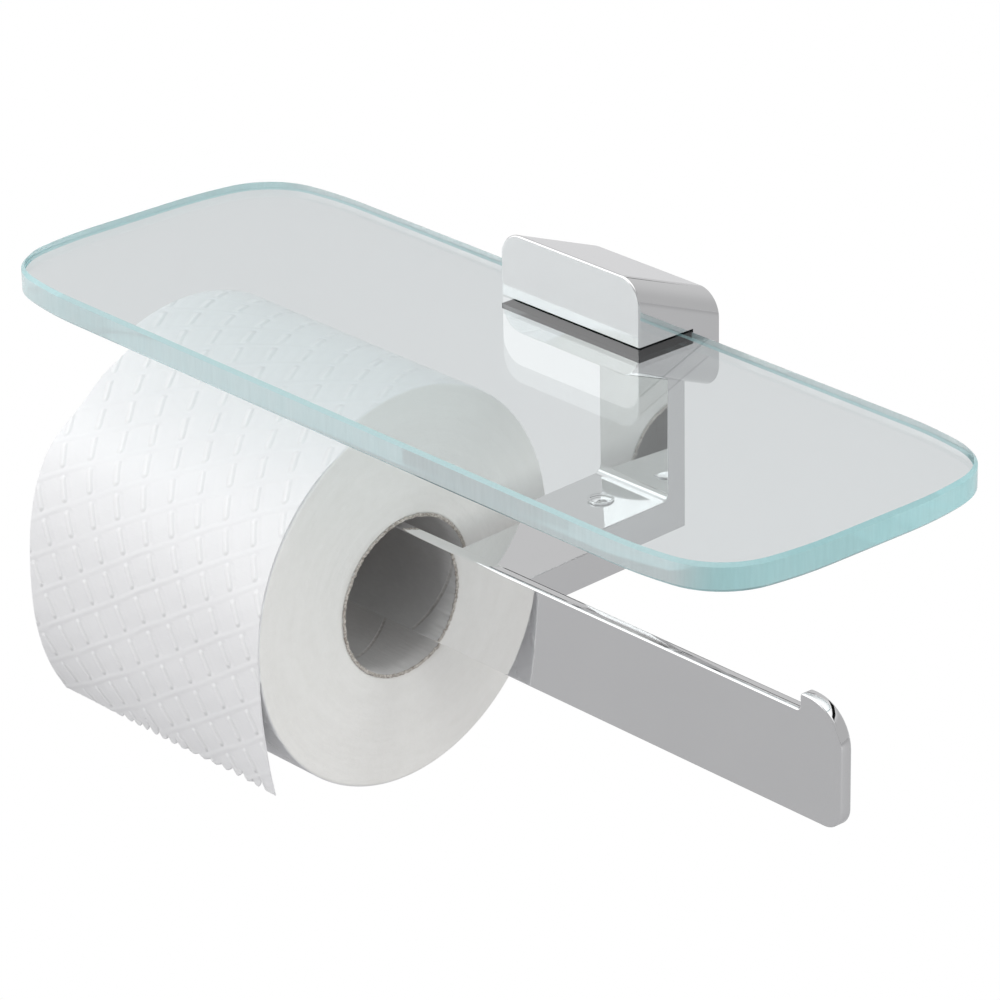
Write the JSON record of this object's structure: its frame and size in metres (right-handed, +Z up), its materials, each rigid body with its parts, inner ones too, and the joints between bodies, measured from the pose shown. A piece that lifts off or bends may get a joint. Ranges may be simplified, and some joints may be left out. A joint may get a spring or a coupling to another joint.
{
  "type": "toilet paper holder",
  "caption": "Wall-mounted toilet paper holder: chrome bracket with a flat roll bar, a hanging paper roll and a clear glass shelf above it.",
  "frame": {"origin": "on the wall plane, at the middle of the block's back", "axes": "+X along the wall to the right as seen by the user, +Y into the wall, +Z up"},
  "size_m": [0.3002, 0.1183, 0.1583],
  "materials": {
    "clear_glass": "polished float glass with a pale green edge",
    "chrome": "polished chrome plate",
    "black_rubber": "matt black",
    "zinc_steel": "zinc plated",
    "stainless_steel": "plain stainless",
    "tissue": "soft embossed tissue paper",
    "cardboard": "grey-brown cardboard"
  },
  "bodies": {
    "bracket": {"shelf_glass": "clear_glass", "shelf_block": "chrome", "slot_liner": "black_rubber", "clamp_shoe": "stainless_steel", "clamp_screws": "stainless_steel", "wall_plate": "zinc_steel", "plate_lock_screws": "stainless_steel", "support_leg": "chrome", "leg_screws": "stainless_steel", "wall_pad": "black_rubber", "roll_bar": "chrome", "bar_tang": "zinc_steel", "arm_screw": "chrome"},
    "roll": {"core_tube": "cardboard", "paper_roll": "tissue", "paper_tail": "tissue"}
  },
  "joints": [
    {"name": "roll_spin", "type": "hinge", "parent": "bracket", "child": "roll", "pos_m": [-0.0845, -0.061, -0.0759], "axis": [1, 0, 0], "continuous": true}
  ]
}
